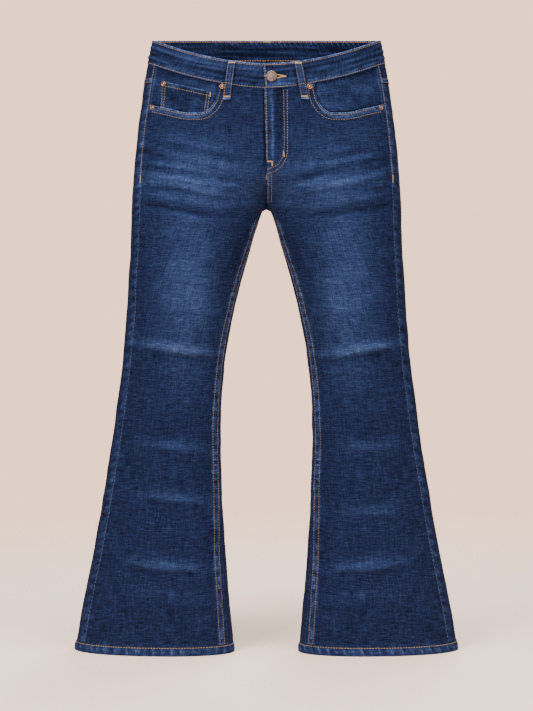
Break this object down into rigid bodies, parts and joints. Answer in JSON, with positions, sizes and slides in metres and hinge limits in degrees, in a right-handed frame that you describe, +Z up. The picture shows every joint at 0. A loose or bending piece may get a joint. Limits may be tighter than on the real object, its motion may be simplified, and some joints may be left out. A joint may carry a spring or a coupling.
{
  "type": "bootcut jeans",
  "caption": "Mid-rise bootcut jeans filled out and hollow, open at the waist and at both flared hems, standing on the hems.",
  "frame": {"origin": "on the floor, at the middle of the box that holds the jeans, between the two hems", "axes": "+Z up, -Y towards the front, where the fly is, +X towards the wearer's left"},
  "size_m": [0.6702, 0.2033, 1.0698],
  "materials": {
    "denim": "worn indigo twill with faded thighs and tan stitching",
    "denim_facing": "darker unfaded indigo twill",
    "button_metal": "antique satin metal",
    "rivet_copper": "burnished copper",
    "zip_tape": "woven dark tape"
  },
  "bodies": {
    "root": {"front_panel_left": "denim", "front_panel_right": "denim", "back_panel_left": "denim", "back_panel_right": "denim", "yoke_left": "denim", "yoke_right": "denim", "waistband": "denim", "back_pocket_left": "denim", "back_pocket_right": "denim", "coin_pocket": "denim", "hem_left": "denim", "hem_right": "denim", "pocket_facing_left": "denim_facing", "pocket_facing_right": "denim_facing", "belt_loop_front_left": "denim", "belt_loop_front_right": "denim", "belt_loop_back_left": "denim", "belt_loop_back_right": "denim", "belt_loop_centre": "denim", "button": "button_metal", "rivet_coin": "rivet_copper", "rivet_fly_left": "rivet_copper", "rivet_fly_right": "rivet_copper", "rivet_side_left": "rivet_copper", "rivet_side_right": "rivet_copper", "fly_zip": "zip_tape"}
  },
  "joints": []
}
